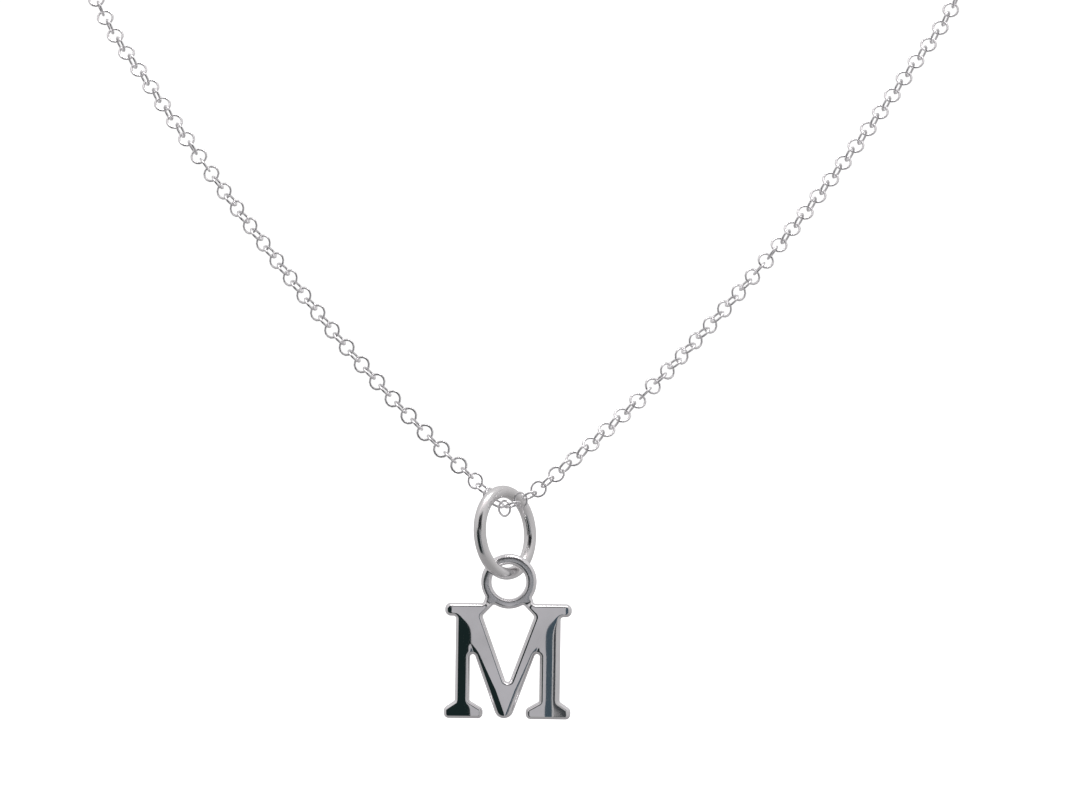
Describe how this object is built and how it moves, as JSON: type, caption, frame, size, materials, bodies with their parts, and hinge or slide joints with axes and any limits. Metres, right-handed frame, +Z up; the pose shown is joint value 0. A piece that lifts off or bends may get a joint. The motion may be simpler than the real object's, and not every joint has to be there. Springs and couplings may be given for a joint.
{
  "type": "initial pendant necklace",
  "caption": "Fine round-link cable chain necklace with a jump ring that carries a small polished silver serif letter, closed by a ring clasp at the nape.",
  "frame": {"origin": "where the nape carries the necklace: the inner side of the clasp at the back of the neck loop", "axes": "+Z up, -Y to the front that faces the viewer, +X to the viewer's right"},
  "size_m": [0.1106, 0.1206, 0.1403],
  "materials": {
    "letter_silver": "polished silver",
    "ring_silver": "polished silver",
    "chain_silver": "bright polished silver",
    "clasp_silver": "polished silver"
  },
  "bodies": {
    "chain": {"front_chain": "chain_silver", "back_chain": "chain_silver", "clasp": "clasp_silver"},
    "ring": {"jump_ring": "ring_silver"},
    "letter": {"letter": "letter_silver"}
  },
  "joints": [
    {"name": "ring_swing", "type": "hinge", "parent": "chain", "child": "ring", "pos_m": [-0.0004, -0.116, -0.1193], "axis": [0.795, -0.6018, 0.0765], "range_deg": [-60, 60]},
    {"name": "letter_swing", "type": "hinge", "parent": "ring", "child": "letter", "pos_m": [-0.00001, -0.116, -0.12493], "axis": [0.599, 0.7986, 0.0577], "range_deg": [-60, 60]}
  ]
}
